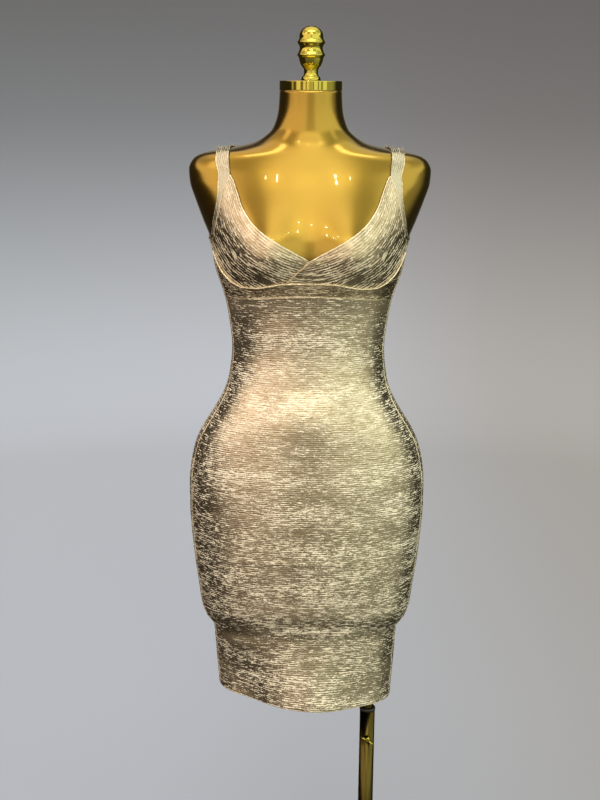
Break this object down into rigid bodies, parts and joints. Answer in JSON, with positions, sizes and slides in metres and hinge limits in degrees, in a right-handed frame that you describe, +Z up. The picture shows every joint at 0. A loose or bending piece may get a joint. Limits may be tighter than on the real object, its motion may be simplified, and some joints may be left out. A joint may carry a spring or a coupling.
{
  "type": "bodycon dress on dress form",
  "caption": "Knee-length sleeveless bodycon dress in foiled rib knit with wrapped bra cups, worn by a gold limbless dress form on an offset telescopic pole stand.",
  "frame": {"origin": "on the floor at the centre of the round base plate, below the middle of the torso", "axes": "+Z up; the dress faces -Y; +X is the wearer's left"},
  "size_m": [0.3764, 0.36, 1.537],
  "materials": {
    "foil_knit": "foil",
    "gold_lacquer": "gloss",
    "gold_plate": "mirror",
    "gold_tube": "polished",
    "black_plastic": "satin"
  },
  "bodies": {
    "stand": {"base_plate": "gold_tube", "base_socket": "gold_tube", "stand_tube": "gold_tube", "tube_collar": "black_plastic"},
    "clamp": {"clamp_screw": "gold_plate"},
    "lift": {"lift_rod": "gold_tube"},
    "form": {"torso": "gold_lacquer", "neck_cap": "gold_plate", "finial": "gold_plate", "rod_flange": "gold_tube", "front_panel": "foil_knit", "back_panel": "foil_knit", "underbust_band": "foil_knit", "cup_right": "foil_knit", "cup_left": "foil_knit", "strap_right": "foil_knit", "strap_left": "foil_knit", "underbust_piping": "foil_knit"}
  },
  "joints": [
    {"name": "height_slide", "type": "slide", "parent": "stand", "child": "lift", "axis": [0, 0, 1], "range_m": [-0.12, 0.1]},
    {"name": "form_swivel", "type": "hinge", "parent": "lift", "child": "form", "pos_m": [0.107, 0, 0.5], "axis": [0, 0, 1], "continuous": true},
    {"name": "clamp_turn", "type": "hinge", "parent": "stand", "child": "clamp", "pos_m": [0.107, -0.018, 0.378], "axis": [0, -1, 0], "range_deg": [0, 360]}
  ]
}
